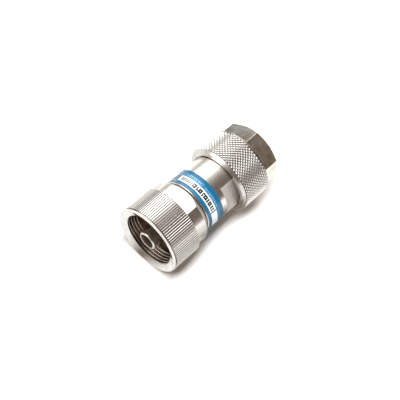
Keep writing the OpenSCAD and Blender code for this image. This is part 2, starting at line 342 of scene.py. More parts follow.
def soften(outline, size):
    """Replaces every corner of a closed outline by a small curve."""
    soft = []
    for i, corner in enumerate(outline):
        here = Vector(corner)
        if here.x < ON_AXIS:
            soft.append(here)
            continue
        back = Vector(outline[i - 1]) - here
        ahead = Vector(outline[(i + 1) % len(outline)]) - here
        cut = min(size, CURVE_SHARE * back.length, CURVE_SHARE * ahead.length)
        start = here + back.normalized() * cut
        end = here + ahead.normalized() * cut
        soft.append(start + back.normalized() * cut * SUPPORT_SHARE)
        for step in range(CURVE_STEPS + 1):
            t = step / CURVE_STEPS
            soft.append(start * (1 - t) ** 2 + here * 2 * t * (1 - t) + end * t**2)
        soft.append(end + ahead.normalized() * cut * SUPPORT_SHARE)
    return soft


def facing(turn):
    """The direction away from the axis at an angle in degrees."""
    return Vector((math.cos(math.radians(turn)), math.sin(math.radians(turn)), 0))


def shade(mesh):
    """Smooth faces with sharp edges where the surface really turns."""
    mesh.shade_smooth()
    mesh.set_sharp_from_angle(angle=SHARP_ANGLE)


def new_piece(name, mesh, material):
    """Puts a mesh into the scene at the origin."""
    mesh.name = name
    mesh.materials.clear()
    mesh.materials.append(material)
    piece = bpy.data.objects.new(name, mesh)
    bpy.context.scene.collection.objects.link(piece)
    return piece


def lathe(name, outline, material):
    """Turns a closed outline of radius and height, in millimetres, about the axis."""
    shape = bmesh.new()
    turned_rings = []
    for radius, height in outline:
        count = 1 if radius < ON_AXIS else SEGMENTS
        turned_ring = []
        for k in range(count):
            a = math.tau * k / SEGMENTS
            point = (radius * math.cos(a) * MM, radius * math.sin(a) * MM, height * MM)
            turned_ring.append(shape.verts.new(point))
        turned_rings.append(turned_ring)
    for i, ring in enumerate(turned_rings):
        after = turned_rings[(i + 1) % len(turned_rings)]
        for k in range(SEGMENTS):
            corners = (ring[k % len(ring)], ring[(k + 1) % len(ring)],
                       after[(k + 1) % len(after)], after[k % len(after)])
            corners = list(dict.fromkeys(corners))
            if len(corners) > 2:
                shape.faces.new(corners)
    bmesh.ops.recalc_face_normals(shape, faces=shape.faces)
    mesh = bpy.data.meshes.new(name)
    shape.to_mesh(mesh)
    shape.free()
    shade(mesh)
    return new_piece(name, mesh, material)


# %% [markdown]
# ## Milling flats
# Wrench flats are milled after turning. A Boolean modifier does the same: a box stands where the
# metal has to go. The result is baked into a plain mesh at once and the box is removed, so that
# no modifier stays live on a finished piece. Another helper gives a different finish to some faces
# of a piece, which a test picks by where they are and which way they look.

# %% Milling and finishing helpers
CUTTER_SIZE = 30.0
CUTTER_EXTRA = 1.0
# How close a face has to be to a border or a surface to be picked by it
CLOSE = 0.01
NEAR = 0.05
AROUND = 0.1
# Two directions agree above this dot product, and a face looks sideways below this normal Z
SAME_WAY = 0.999
SIDEWAYS = 0.5


def bake(piece):
    """Turns a piece with modifiers into a plain mesh."""
    depsgraph = bpy.context.evaluated_depsgraph_get()
    mesh = bpy.data.meshes.new_from_object(piece.evaluated_get(depsgraph))
    piece.modifiers.clear()
    piece.data = mesh
    mesh.name = piece.name
    shade(mesh)


def mill_flat(piece, distance, turn, low, high):
    """Cuts away what lies past a flat that faces an angle, between two heights."""
    size = Vector((CUTTER_SIZE, CUTTER_SIZE, high - low))
    centre = Vector((distance + CUTTER_SIZE / 2, 0, (low + high) / 2))
    shape = bmesh.new()
    place_box = Matrix.Rotation(math.radians(turn), 4, "Z") @ Matrix.Translation(centre * MM)
    bmesh.ops.create_cube(shape, size=1.0, matrix=place_box @ Matrix.Diagonal((*size * MM, 1.0)))
    mesh = bpy.data.meshes.new("cutter")
    shape.to_mesh(mesh)
    shape.free()
    cutter = bpy.data.objects.new("cutter", mesh)
    bpy.context.scene.collection.objects.link(cutter)
    modifier = piece.modifiers.new("Flat", "BOOLEAN")
    modifier.operation = "DIFFERENCE"
    modifier.solver = "EXACT"
    modifier.object = cutter
    bake(piece)
    bpy.data.objects.remove(cutter)


def finish_faces(piece, material, picks):
    """Gives another finish to the faces that a test on centre (in mm) and normal picks."""
    if material.name not in piece.data.materials:
        piece.data.materials.append(material)
    slot = piece.data.materials.find(material.name)
    for face in piece.data.polygons:
        if picks(face.center / MM, face.normal):
            face.material_index = slot


def on_drum(spot, normal, radius):
    """Whether a face lies on a drum round the axis and faces outwards or inwards."""
    return abs(spot.xy.length - radius) < AROUND and abs(normal.z) < SIDEWAYS


# %% [markdown]
# ## The front nut's shell
# The large nut on the socket's side is a sleeve: a smooth part with two wrench flats and a cone
# at its back, a wider part for the ridges, a narrow groove, a plain rim, and a mouth with a
# thread. The outline goes up the outside and comes back down the inside. The ridges and the
# thread repeat, so they are left to Geometry Nodes, and the shell only carries them.

# %% Front nut: shell
FRONT_SMOOTH_LEN = 5.7
FRONT_STEP = 0.8
FRONT_CONE_LEN = 1.65
FRONT_CONE_DEPTH = 1.55
FRONT_RIM_LEN = 0.7
FRONT_GROOVE = 0.25
FRONT_RIM_BEVEL = 0.4
SMALL_BEVEL = 0.25
FRONT_LAND = 0.1
FRONT_KNURL_DEPTH = 0.18
FRONT_WALL = 2.6
FRONT_LEAD_LEN = 0.85
FRONT_LIP_LEN = 0.12
FRONT_LIP_SLOPE = 0.6
FRONT_MOUTH_DEPTH = 9.7
THREAD_DEPTH = 0.54
NECK_R = 7.0
RUN_CLEAR = 0.05

front_smooth_r = nut_r - FRONT_STEP
front_root_r = nut_r - FRONT_KNURL_DEPTH
front_crest_r = nut_r - FRONT_WALL
front_thread_r = front_crest_r + THREAD_DEPTH
front_floor_z = mouth_z - FRONT_MOUTH_DEPTH
front_lead_r = nut_r - FRONT_RIM_BEVEL - FRONT_LAND
front_lead_z = mouth_z - FRONT_LEAD_LEN
front_lip_z = front_lead_z - FRONT_LIP_LEN
knurl_low_z = front_back_z + FRONT_SMOOTH_LEN
rim_low_z = mouth_z - FRONT_RIM_LEN
knurl_high_z = rim_low_z - FRONT_GROOVE
front_shell = lathe("front_nut_shell", soften([
    (NECK_R + RUN_CLEAR, front_back_z),
    (front_smooth_r - FRONT_CONE_DEPTH, front_back_z),
    (front_smooth_r, front_back_z + FRONT_CONE_LEN),
    (front_smooth_r, knurl_low_z),
    (front_root_r, knurl_low_z),
    (front_root_r, knurl_high_z),
    (front_smooth_r, knurl_high_z),
    (front_smooth_r, rim_low_z),
    (nut_r - SMALL_BEVEL, rim_low_z),
    (nut_r, rim_low_z + SMALL_BEVEL),
    (nut_r, mouth_z - FRONT_RIM_BEVEL),
    (nut_r - FRONT_RIM_BEVEL, mouth_z),
    (front_lead_r, mouth_z),
    (front_crest_r, front_lead_z),
    (front_crest_r, front_lip_z),
    (front_thread_r, front_lip_z - THREAD_DEPTH * FRONT_LIP_SLOPE),
    (front_thread_r, front_floor_z),
    (NECK_R + RUN_CLEAR, front_floor_z),
], NUT_EDGE), steel)
print("front nut shell:", len(front_shell.data.polygons), "faces")

# %% [markdown]
# ## The front nut's flats and finishes
# Two wrench flats are milled on the smooth part. The shell is one steel so far, and now its faces
# get their own finishes: the mouth and the groove are painted dark as painted shade, the cone
# that leads into the mouth is polished, the rim is pale, the roots under the ridges are painted
# darker as painted shade, and the cone at the back is grey. Separate pieces would show seams, so
# one mesh gets several materials.

# %% Front nut: flats and finishes
FRONT_FLAT_DEPTH = 1.2
FRONT_FLAT_TURN = -71.4
FRONT_BRIGHT_DEPTH = 0.11
GROOVE_DARK_DEPTH = 0.2
CONE_NORMAL_LOW = -0.95
CONE_NORMAL_HIGH = -0.3

front_knurl_steel = knurled(
    "Ridged steel", front_root_r, nut_r - FRONT_BRIGHT_DEPTH, root=LIGHT_ROOT_SHADE_STEEL
)
for side in (0, 180):
    mill_flat(front_shell, front_smooth_r - FRONT_FLAT_DEPTH, FRONT_FLAT_TURN + side,
              front_back_z - CUTTER_EXTRA, knurl_low_z)
# The mouth and the groove get the mouth's painted shade
finish_faces(front_shell, mouth_shade_steel, lambda spot, normal:
             spot.xy.length < front_thread_r + NEAR and spot.z < front_lead_z + CLOSE)
finish_faces(front_shell, mouth_shade_steel, lambda spot, normal:
             spot.xy.length < nut_r - GROOVE_DARK_DEPTH and knurl_high_z < spot.z < rim_low_z)
finish_faces(front_shell, polished_steel, lambda spot, normal:
             spot.xy.length < front_lead_r and spot.z > front_lead_z)
finish_faces(front_shell, rim_steel, lambda spot, normal:
             spot.xy.length > front_lead_r and spot.z > rim_low_z)
finish_faces(front_shell, front_knurl_steel, lambda spot, normal:
             on_drum(spot, normal, front_root_r))
finish_faces(front_shell, milled_steel, lambda spot, normal:
             spot.z < front_back_z + FRONT_CONE_LEN
             and CONE_NORMAL_LOW < normal.z < CONE_NORMAL_HIGH)
print("front nut finishes:", ", ".join(front_shell.data.materials.keys()))

# %% [markdown]
# ## Growing pieces with Geometry Nodes
# A tree makes a piece from a few named sizes. The function below hangs a tree on an empty mesh,
# sets each named input by its socket's identifier, and bakes the result, so that the finished
# piece is a plain mesh with one material.

# %% Helper for geometry trees


def grow(name, tree, values):
    """Makes a piece from a geometry tree and the sizes that it asks for."""
    material = values["Material"]
    piece = new_piece(name, bpy.data.meshes.new(name), material)
    modifier = piece.modifiers.new(tree.name, "NODES")
    modifier.node_group = tree
    for item in tree.interface.items_tree:
        if item.in_out == "INPUT":
            modifier[item.identifier] = values[item.name]
    bake(piece)
    return piece


def finish_tree(tree, geometry, material, output):
    """Ends a tree as real geometry with its material."""
    real = place(tree, "GeometryNodeRealizeInstances", {"Geometry": geometry})
    painted = place(tree, "GeometryNodeSetMaterial", {
        "Geometry": real.outputs[0], "Material": material,
    })
    tree.links.new(painted.outputs[0], output)
    print("tree:", tree.name, "with", len(tree.nodes), "nodes")


# %% [markdown]
# ## Straight ridges
# A hundred straight ridges give the fingers grip on the front nut. They could be an Array on a
# circle, but a tree says the rule plainly: make one long block, pull its outer corners together,
# and copy it to a number of points that differ only in their turn about the axis. The flat tops
# mirror what the plain cylinder would, and the sides add a bright and a dark line to each. The
# tops lean a little to one side, so one flank is gentle and the other steep.

# %% Tree: straight ridges
ridges, given, ridges_out = new_group("Straight ridges", "GeometryNodeTree", {
    "Count": INTEGER, "Radius": FLOAT, "Low": FLOAT, "High": FLOAT,
    "Depth": FLOAT, "Foot": FLOAT, "Top": FLOAT, "Lean": FLOAT, "Material": MATERIAL,
}, {"Geometry": GEOMETRY})
length = maths(ridges, "SUBTRACT", given["High"], given["Low"])
block_size = combine(ridges, given["Depth"], given["Foot"], length)
block = place(ridges, "GeometryNodeMeshCube", {"Size": block_size}).outputs["Mesh"]
spot = place(ridges, "GeometryNodeInputPosition").outputs[0]
corner = place(ridges, "ShaderNodeSeparateXYZ", {0: spot}).outputs
at_top = maths(ridges, "GREATER_THAN", corner["X"], 0.0)
lost_share = maths(ridges, "SUBTRACT", 1.0, maths(ridges, "DIVIDE", given["Top"], given["Foot"]))
kept_share = maths(ridges, "SUBTRACT", 1.0, maths(ridges, "MULTIPLY", at_top, lost_share))
leaning = maths(ridges, "MULTIPLY", at_top, given["Lean"])
half_depth = maths(ridges, "DIVIDE", given["Depth"], 2.0)
middle_r = maths(ridges, "SUBTRACT", given["Radius"], half_depth)
middle_z = maths(ridges, "DIVIDE", maths(ridges, "ADD", given["Low"], given["High"]), 2.0)
ridge = place(ridges, "GeometryNodeSetPosition", {"Geometry": block, "Position": combine(
    ridges,
    maths(ridges, "ADD", corner["X"], middle_r),
    maths(ridges, "ADD", maths(ridges, "MULTIPLY", corner["Y"], kept_share), leaning),
    maths(ridges, "ADD", corner["Z"], middle_z),
)})
points = place(ridges, "GeometryNodePoints", {"Count": given["Count"]})
number = place(ridges, "GeometryNodeInputIndex").outputs[0]
step = maths(ridges, "DIVIDE", math.tau, given["Count"])
turn = maths(ridges, "MULTIPLY", number, step)
turned = place(ridges, "FunctionNodeEulerToRotation", {"Euler": combine(ridges, 0.0, 0.0, turn)})
copies = place(ridges, "GeometryNodeInstanceOnPoints", {
    "Points": points.outputs[0], "Instance": ridge.outputs[0], "Rotation": turned.outputs[0],
})
finish_tree(ridges, copies.outputs[0], given["Material"], ridges_out[0])

# %% [markdown]
# ## The front nut's ridges
# The ridges stand on the shell's drum, between the step and the groove. Their pitch comes from the
# drum's own size, so they always close the circle. Their tops stay a hair below the nut's largest
# radius and their feet sink into the drum by as much. They end just short of the step, because
# two faces in one plane would flicker.

# %% Front nut: ridges
FRONT_RIDGES = 100
RIDGE_TOP = 0.54
RIDGE_LEAN = -0.076
RIDGE_SINK = 0.01
RIDGE_END_GAP = 0.02

ridge_pitch = math.tau * front_root_r / FRONT_RIDGES
front_ridges = grow("front_nut_ridges", ridges, {
    "Count": FRONT_RIDGES,
    "Radius": (nut_r - RIDGE_SINK) * MM,
    "Low": (knurl_low_z + RIDGE_END_GAP) * MM,
    "High": knurl_high_z * MM,
    "Depth": FRONT_KNURL_DEPTH * MM,
    "Foot": ridge_pitch * MM,
    "Top": RIDGE_TOP * ridge_pitch * MM,
    "Lean": RIDGE_LEAN * ridge_pitch * MM,
    "Material": front_knurl_steel,
})
print("front ridges:", len(front_ridges.data.polygons), "faces, pitch", round(ridge_pitch, 3), "mm")

# %% [markdown]
# ## Screw threads
# A thread is a ridge along a helix. A Curve Spiral with equal start and end radii is that helix,
# and Curve to Mesh sweeps a trapezoid with rounded corners along it. With the curve's normals
# set to Z Up, the trapezoid keeps pointing at the axis all the way round. Both nuts have such a
# thread inside.

# %% Tree: inside thread
STEPS_PER_TURN = 96
ROUNDING_STEPS = 5

threads, given, threads_out = new_group("Inside thread", "GeometryNodeTree", {
    "Turns": FLOAT, "Pitch": FLOAT, "Root radius": FLOAT, "Depth": FLOAT, "Low": FLOAT,
    "Foot width": FLOAT, "Crest width": FLOAT, "Rounding": FLOAT, "Material": MATERIAL,
}, {"Geometry": GEOMETRY})
half_depth = maths(threads, "MULTIPLY", given["Depth"], 0.5)
middle = maths(threads, "SUBTRACT", given["Root radius"], half_depth)
helix = place(threads, "GeometryNodeCurveSpiral", {
    "Resolution": STEPS_PER_TURN, "Rotations": given["Turns"],
    "Start Radius": middle, "End Radius": middle,
    "Height": maths(threads, "MULTIPLY", given["Turns"], given["Pitch"]),
})
upright = place(threads, "GeometryNodeSetCurveNormal", {"Curve": helix.outputs[0]}, mode="Z_UP")
section = place(threads, "GeometryNodeCurvePrimitiveQuadrilateral", {
    "Bottom Width": given["Foot width"], "Top Width": given["Crest width"],
    "Height": given["Depth"], "Offset": 0.0,
}, mode="TRAPEZOID")
section = place(threads, "GeometryNodeFilletCurve", {
    "Curve": section.outputs[0], "Count": ROUNDING_STEPS, "Radius": given["Rounding"],
    "Limit Radius": True,
}, mode="POLY")
section = place(threads, "GeometryNodeTransform", {
    "Geometry": section.outputs[0], "Rotation": (0.0, 0.0, math.pi / 2),
})
coil = place(threads, "GeometryNodeCurveToMesh", {
    "Curve": upright.outputs[0], "Profile Curve": section.outputs[0], "Fill Caps": True,
})
raised = place(threads, "GeometryNodeTransform", {
    "Geometry": coil.outputs[0], "Translation": combine(threads, 0.0, 0.0, given["Low"]),
})
finish_tree(threads, raised.outputs[0], given["Material"], threads_out[0])

# %% [markdown]
# ## The front nut's thread
# The thread fills the upper half of the mouth, below its lip. Its foot sinks a little into the
# bore, so that no gap shows, and its crests reach the radius that the solid has. The whole thread
# is painted shade: the roots as dark brown as the mouth, and the crests a lighter brown steel.

# %% Front nut: thread
THREAD_PITCH = 1.0
THREAD_FOOT = 0.86
THREAD_CREST = 0.34
THREAD_ROUNDING = 0.2
THREAD_SINK = 0.02
FRONT_THREAD_LEN = 4.6


def inside_thread(name, root_r, low_z, length, material):
    """A thread on the inside of a nut, from a height up; its foot sinks into the shell."""
    return grow(name, threads, {
        "Turns": length / THREAD_PITCH,
        "Pitch": THREAD_PITCH * MM,
        "Root radius": (root_r + THREAD_SINK) * MM,
        "Depth": (THREAD_DEPTH + THREAD_SINK) * MM,
        "Low": low_z * MM,
        "Foot width": THREAD_FOOT * MM,
        "Crest width": THREAD_CREST * MM,
        "Rounding": THREAD_ROUNDING * MM,
        "Material": material,
    })


front_thread_steel = knurled(
    "Front thread steel", front_thread_r, front_crest_r, root=MOUTH_SHADE_STEEL, crest=INNER_SHADE_STEEL
)
front_thread = inside_thread("front_nut_thread", front_thread_r, front_lip_z - FRONT_THREAD_LEN,
                             FRONT_THREAD_LEN, front_thread_steel)
print("front thread:", len(front_thread.data.polygons), "faces")

# %% [markdown]
# ## The rear nut's shell
# The plug's nut has a knurled drum with a bevelled rim towards the body, and a hexagon for a
# wrench at its end. The hexagon is turned first, with a bevel at its end, as a machinist makes it.
# A pocket in the rim takes the end of the body, and the other end is bored for the thread.

# %% Rear nut: shell
HEX_FLAT = 8.75
HEX_STEP = 0.85
HEX_LEN = 6.0
HEX_BEVEL = 0.05
HEX_BEVEL_ANGLE = math.radians(30)
DRUM_EDGE_DROP = 0.12
DRUM_EDGE_LEN = 0.2
REAR_RIM_BEVEL = 0.8
REAR_RIM_DROP = 0.05
REAR_KNURL_DEPTH = 0.2
REAR_CREST_R = 7.46
REAR_MOUTH_DEPTH = 10.4
REAR_LEAD = 0.45
POCKET_GAP = 0.3
POCKET_DEPTH = 1.6

hex_corner_r = nut_r - HEX_STEP
hex_face_r = HEX_FLAT - HEX_BEVEL
rear_root_r = nut_r - REAR_KNURL_DEPTH
rear_thread_r = REAR_CREST_R + THREAD_DEPTH
drum_low_z = rear_end_z + HEX_LEN
hex_bevel_len = (hex_corner_r - hex_face_r) * math.tan(HEX_BEVEL_ANGLE)
rear_wall_z = rear_end_z + REAR_MOUTH_DEPTH
pocket_r = body_r + POCKET_GAP
rear_shell = lathe("rear_nut_shell", soften([
    (REAR_CREST_R + REAR_LEAD, rear_end_z),
    (hex_face_r, rear_end_z),
    (hex_corner_r, rear_end_z + hex_bevel_len),
    (hex_corner_r, drum_low_z),
    (nut_r - DRUM_EDGE_DROP, drum_low_z),
    (rear_root_r, drum_low_z + DRUM_EDGE_LEN),
    (rear_root_r, rear_top_z - REAR_RIM_BEVEL),
    (nut_r - REAR_RIM_DROP, rear_top_z - REAR_RIM_BEVEL),
    (nut_r - REAR_RIM_BEVEL, rear_top_z),
    (pocket_r, rear_top_z),
    (pocket_r, rear_top_z - POCKET_DEPTH),
    (NECK_R + RUN_CLEAR, rear_top_z - POCKET_DEPTH),
    (NECK_R + RUN_CLEAR, rear_wall_z),
    (rear_thread_r, rear_wall_z),
    (rear_thread_r, rear_end_z + REAR_LEAD),
], NUT_EDGE), steel)
print("rear nut shell:", len(rear_shell.data.polygons), "faces, pocket", round(pocket_r, 2), "mm")

# %% [markdown]
# ## The rear nut's hexagon and finishes
# Six flats are milled on the turned end, so its bevel makes the arcs that show on them. A prism
# with six sides would be quicker but has no arcs. Six more cuts, far narrower, break the corners.
# The flats are stained by wrenches, and the drum between its diamonds is painted darker, as painted
# shade.

# %% Rear nut: hexagon and finishes
HEX_TURN = -102
HEX_SIDES = 6
HEX_EDGE = 0.03
REAR_BRIGHT_DEPTH = 0.1

hex_edge_r = HEX_FLAT / math.cos(math.pi / HEX_SIDES) - HEX_EDGE
rear_knurl_steel = knurled("Diamond steel", rear_root_r, nut_r - REAR_BRIGHT_DEPTH)
for k in range(HEX_SIDES):
    for distance, sides_on in ((HEX_FLAT, k), (hex_edge_r, k + 0.5)):
        mill_flat(rear_shell, distance, HEX_TURN + sides_on * 360 / HEX_SIDES,
                  rear_end_z - CUTTER_EXTRA, drum_low_z)
finish_faces(rear_shell, wrench_steel, lambda spot, normal:
             spot.xy.length > hex_face_r and spot.z < drum_low_z - CLOSE)
finish_faces(rear_shell, rear_knurl_steel, lambda spot, normal:
             on_drum(spot, normal, rear_root_r) and spot.z > drum_low_z + CLOSE)
print("rear nut finishes:", ", ".join(rear_shell.data.materials.keys()))

# %% [markdown]
# ## Diamond knurl
# Two crossed rolls press a diamond knurl: rows of small pyramids, each row half a step round from
# the one below. A point's number gives its row and its place in the row, which is all the rule
# there is. A cone with four sides and a blunt top is one pyramid, laid with its axis outwards.

# %% Tree: diamond knurl
diamonds, given, diamonds_out = new_group("Diamond knurl", "GeometryNodeTree", {
    "Per row": INTEGER, "Rows": INTEGER, "Row step": FLOAT, "Low": FLOAT, "Root radius": FLOAT,
    "Foot": FLOAT, "Top": FLOAT, "Depth": FLOAT, "Material": MATERIAL,
}, {"Geometry": GEOMETRY})
number = place(diamonds, "GeometryNodeInputIndex").outputs[0]
rows_passed = maths(diamonds, "DIVIDE", maths(diamonds, "ADD", number, 0.5), given["Per row"])
row = maths(diamonds, "FLOOR", rows_passed)
column = maths(diamonds, "SUBTRACT", number, maths(diamonds, "MULTIPLY", row, given["Per row"]))
odd_row = maths(diamonds, "MODULO", row, 2.0)
shifted = maths(diamonds, "ADD", column, maths(diamonds, "MULTIPLY", odd_row, 0.5))
turn = maths(diamonds, "DIVIDE", maths(diamonds, "MULTIPLY", shifted, math.tau), given["Per row"])
spot = combine(
    diamonds,
    maths(diamonds, "MULTIPLY", given["Root radius"], maths(diamonds, "COSINE", turn)),
    maths(diamonds, "MULTIPLY", given["Root radius"], maths(diamonds, "SINE", turn)),
    maths(diamonds, "ADD", given["Low"], maths(diamonds, "MULTIPLY", row, given["Row step"])),
)
points = place(diamonds, "GeometryNodePoints", {
    "Count": maths(diamonds, "MULTIPLY", given["Per row"], given["Rows"]), "Position": spot,
})
pyramid = place(diamonds, "GeometryNodeMeshCone", {
    "Vertices": 4, "Radius Bottom": given["Foot"], "Radius Top": given["Top"],
    "Depth": given["Depth"],
})
outwards = place(diamonds, "FunctionNodeEulerToRotation", {
    "Euler": combine(diamonds, 0.0, math.pi / 2, turn),
})
copies = place(diamonds, "GeometryNodeInstanceOnPoints", {
    "Points": points.outputs[0], "Instance": pyramid.outputs[0], "Rotation": outwards.outputs[0],
})
finish_tree(diamonds, copies.outputs[0], given["Material"], diamonds_out[0])

# %% [markdown]
# ## The rear nut's knurl
# The number of pyramids in a row sets their size: their square feet stand on a corner and tile the
# drum. As many rows as fit are centred between the drum's two edges.

# %% Rear nut: diamond knurl
DIAMONDS_PER_ROW = 63
DIAMOND_TOP = 0.46
DIAMOND_SINK = 0.005

diamond_step = math.tau * rear_root_r / DIAMONDS_PER_ROW / 2
drum_edge_z = drum_low_z + DRUM_EDGE_LEN
knurl_space = rear_top_z - REAR_RIM_BEVEL - drum_edge_z
diamond_rows = int(knurl_space / diamond_step)
first_row_z = drum_edge_z + (knurl_space - (diamond_rows - 1) * diamond_step) / 2
rear_diamonds = grow("rear_nut_knurl", diamonds, {
    "Per row": DIAMONDS_PER_ROW,
    "Rows": diamond_rows,
    "Row step": diamond_step * MM,
    "Low": first_row_z * MM,
    "Root radius": (rear_root_r - DIAMOND_SINK) * MM,
    "Foot": diamond_step * MM,
    "Top": DIAMOND_TOP * diamond_step * MM,
    "Depth": REAR_KNURL_DEPTH * MM,
    "Material": rear_knurl_steel,
})
print("diamonds:", diamond_rows, "rows,", len(rear_diamonds.data.polygons), "faces")

# %% [markdown]
# ## The rear nut's thread
# The plug's nut has the same thread behind the lead-in of its end. The tree and its helper are
# there already, so only the place, the length and the steel are new.

# %% Rear nut: thread
REAR_THREAD_LEN = 7.4
REAR_THREAD_START = 0.5

rear_thread_steel = knurled("Rear thread steel", rear_thread_r, REAR_CREST_R)
rear_thread = inside_thread("rear_nut_thread", rear_thread_r, rear_end_z + REAR_LEAD + REAR_THREAD_START,
                            REAR_THREAD_LEN, rear_thread_steel)
print("rear thread:", len(rear_thread.data.polygons), "faces")

# %% [markdown]
# ## The body
# The body is one turned piece. Its middle carries the label and two wrench flats, and its thinner
# necks carry the nuts. The inside is bored for the plug's sleeve, the bead and the line.

# %% Body
BODY_CHAMFER = 0.25
BODY_ENTRY = 1.2
BODY_FLAT_DEPTH = 1.5
BODY_FLAT_OFFSET = 1.75
BODY_FLAT_TURN = -139
SHOULDER_GAP = 0.35
SLEEVE_STEM_R = 5.02
BARREL_STEM_R = 3.42
WIDE_BORE_R = 3.5
NARROW_BORE_R = 1.75
REAR_BEAD_T = 2.2
CORE_STEP_DROP = 7.0

body_low_z = rear_top_z - BODY_ENTRY
body_high_z = front_back_z - SHOULDER_GAP
core_step_z = barrel_stem_z - CORE_STEP_DROP
body = lathe("body_shell", soften([
    (SLEEVE_STEM_R, rear_neck_z),
    (NECK_R, rear_neck_z),
    (NECK_R, body_low_z),
    (body_r - BODY_CHAMFER, body_low_z),
    (body_r, body_low_z + BODY_CHAMFER),
    (body_r, body_high_z - BODY_CHAMFER),
    (body_r - BODY_CHAMFER, body_high_z),
    (NECK_R, body_high_z),
    (NECK_R, front_neck_z),
    (BARREL_STEM_R, front_neck_z),
    (BARREL_STEM_R, barrel_stem_z),
    (NARROW_BORE_R, barrel_stem_z),
    (NARROW_BORE_R, core_step_z),
    (WIDE_BORE_R, core_step_z),
    (WIDE_BORE_R, sleeve_stem_z + REAR_BEAD_T),
    (SLEEVE_STEM_R, sleeve_stem_z + REAR_BEAD_T),
], FINE_EDGE), steel)
flat_high_z = label_low_z - BODY_FLAT_OFFSET
for side in (0, 180):
    mill_flat(body, body_r - BODY_FLAT_DEPTH, BODY_FLAT_TURN + side,
              body_low_z - CUTTER_EXTRA, flat_high_z)
finish_faces(body, milled_steel, lambda spot, normal:
             abs(normal.dot(facing(BODY_FLAT_TURN))) > SAME_WAY
             and spot.xy.length > NECK_R and spot.z < flat_high_z)
print("body:", len(body.data.polygons), "faces")

# %% [markdown]
# ## The barrel
# In the middle of the mouth stands a thin tube, the socket's outer contact. It is turned like the
# rest, from its own box. Its lip is bright and shows as a thin ring in the dark mouth, and its
# bore is painted a browner steel, as painted shade.

# %% Barrel
BARREL_R = 2.85
BARREL_MOUTH_R = 2.33
BARREL_MOUTH_DEPTH = 1.98
BARREL_FOOT_H = 0.9
STEM_CLEAR = 0.02

barrel_foot_r = reach("front_barrel")
barrel = lathe("barrel", soften([
    (NARROW_BORE_R, barrel_stem_z),
    (BARREL_STEM_R - STEM_CLEAR, barrel_stem_z),
    (BARREL_STEM_R - STEM_CLEAR, front_neck_z),
    (barrel_foot_r, front_neck_z),
    (barrel_foot_r, front_neck_z + BARREL_FOOT_H),
    (BARREL_R, front_neck_z + BARREL_FOOT_H),
    (BARREL_R, barrel_tip_z - SMALL_BEVEL),
    (BARREL_R - SMALL_BEVEL, barrel_tip_z),
    (BARREL_MOUTH_R, barrel_tip_z),
    (BARREL_MOUTH_R, barrel_tip_z - BARREL_MOUTH_DEPTH),
    (NARROW_BORE_R, barrel_tip_z - BARREL_MOUTH_DEPTH),
], FINE_EDGE), steel)
finish_faces(barrel, rim_steel, lambda spot, normal:
             spot.xy.length < BARREL_R - SMALL_BEVEL + NEAR and spot.z > barrel_tip_z - NEAR)
# The barrel's bore gets the browner steel, a painted shade
finish_faces(barrel, bore_shade_steel, lambda spot, normal:
             spot.xy.length < BARREL_MOUTH_R + CLOSE and spot.z < barrel_tip_z - AROUND)
print("barrel finishes:", ", ".join(barrel.data.materials.keys()))

# %% [markdown]
# ## The plug's sleeve
# The plug's outer contact is a wider sleeve, with a foot against the body's neck and a stem in it.
# Only the plug's end shows it, so a plain turned piece is enough.

# %% Sleeve
SLEEVE_R = 4.05
SLEEVE_FOOT_H = 1.0

sleeve_foot_r = reach("rear_sleeve")
sleeve = lathe("sleeve", soften([
    (WIDE_BORE_R, sleeve_end_z),
    (SLEEVE_R - SMALL_BEVEL, sleeve_end_z),
    (SLEEVE_R, sleeve_end_z + SMALL_BEVEL),
    (SLEEVE_R, rear_neck_z - SLEEVE_FOOT_H),
    (sleeve_foot_r, rear_neck_z - SLEEVE_FOOT_H),
    (sleeve_foot_r, rear_neck_z),
    (SLEEVE_STEM_R - STEM_CLEAR, rear_neck_z),
    (SLEEVE_STEM_R - STEM_CLEAR, sleeve_stem_z),
    (WIDE_BORE_R, sleeve_stem_z),
], FINE_EDGE), steel)
print("sleeve:", len(sleeve.data.polygons), "faces")

# %% [markdown]
# ## The plug's pin
# The pin is the plug's centre contact, gold plated, with a tapered tip and a thinner stud at its
# other end. Its outline starts and ends on the axis, so the lathe closes it with fans of triangles.

# %% Pin
PIN_TIP = 0.5
STUD_R = 0.4
STUD_LEN = 2.0

pin_tip_z, pin_top_z = heights("rear_pin")
pin_r = reach("rear_pin")
pin = lathe("pin", soften([
    (0, pin_tip_z),
    (pin_r * PIN_TIP, pin_tip_z),
    (pin_r, pin_tip_z + pin_r),
    (pin_r, pin_top_z - STUD_LEN),
    (STUD_R, pin_top_z - STUD_LEN),
    (STUD_R, pin_top_z),
    (0, pin_top_z),
], PIN_EDGE), gold)
print("pin:", round(pin_top_z - pin_tip_z, 2), "mm long")

# %% [markdown]
# ## A printed field
# A printed film is wrapped round the body. The film has its own UV map: U is the way round, and V
# the way from the front edge to the rear one. A picture could be painted for it, but flat print
# is only boxes of colour, in degrees and shares of the width. A small group makes the mask of one.

# %% Group: printed field
fields, fields_in, fields_out = new_group("Printed field", "ShaderNodeTree", {
    "U": FLOAT, "V": FLOAT, "U low": FLOAT, "U high": FLOAT, "V low": FLOAT, "V high": FLOAT,
}, {"Mask": FLOAT})
inside = 1.0
for axis in ("U", "V"):
    above = maths(fields, "GREATER_THAN", fields_in[axis], fields_in[axis + " low"])
    below = maths(fields, "LESS_THAN", fields_in[axis], fields_in[axis + " high"])
    inside = maths(fields, "MULTIPLY", inside, maths(fields, "MULTIPLY", above, below))
fields.links.new(inside, fields_out["Mask"])
print("group:", fields.name)

# %% [markdown]
# ## The label's ink
# Two helpers print on the film. One lays a box of colour over what is there, as a printing press
# lays one ink over another. The other makes a row of marks of uneven widths from white noise.

